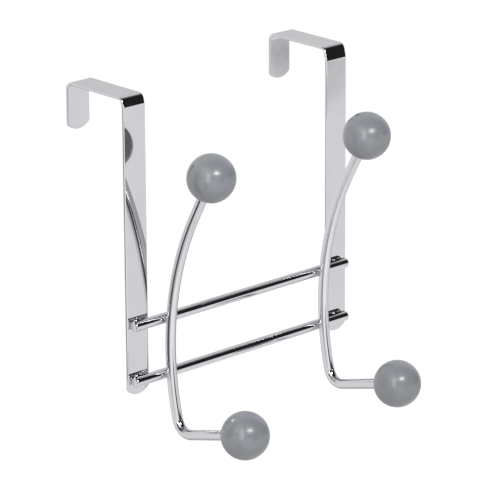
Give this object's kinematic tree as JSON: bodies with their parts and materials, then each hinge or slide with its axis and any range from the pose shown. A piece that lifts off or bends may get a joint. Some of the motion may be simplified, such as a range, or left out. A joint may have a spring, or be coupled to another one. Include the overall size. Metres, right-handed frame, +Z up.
{
  "type": "over-door coat rack",
  "caption": "Over-door coat rack: folded strip hangers carry welded cross rods and bent wire hooks, each with an upper and a lower arm ending in a round ball.",
  "frame": {"origin": "midway between the hangers, where the underside of their tops meets the back face of their front legs: the top front edge of the door", "axes": "+Z up, +Y into the door, +X along the cross rods to the right as seen from the room"},
  "size_m": [0.1544, 0.12, 0.1818],
  "materials": {
    "chrome_steel": "bright chrome plate on steel strip, rod and wire",
    "grey_ball": "glossy grey moulded plastic"
  },
  "bodies": {
    "root": {"left_door_hanger": "chrome_steel", "right_door_hanger": "chrome_steel", "upper_cross_rod": "chrome_steel", "lower_cross_rod": "chrome_steel", "left_hook_wire": "chrome_steel", "right_hook_wire": "chrome_steel", "upper_left_ball": "grey_ball", "upper_right_ball": "grey_ball", "lower_left_ball": "grey_ball", "lower_right_ball": "grey_ball"}
  },
  "joints": []
}
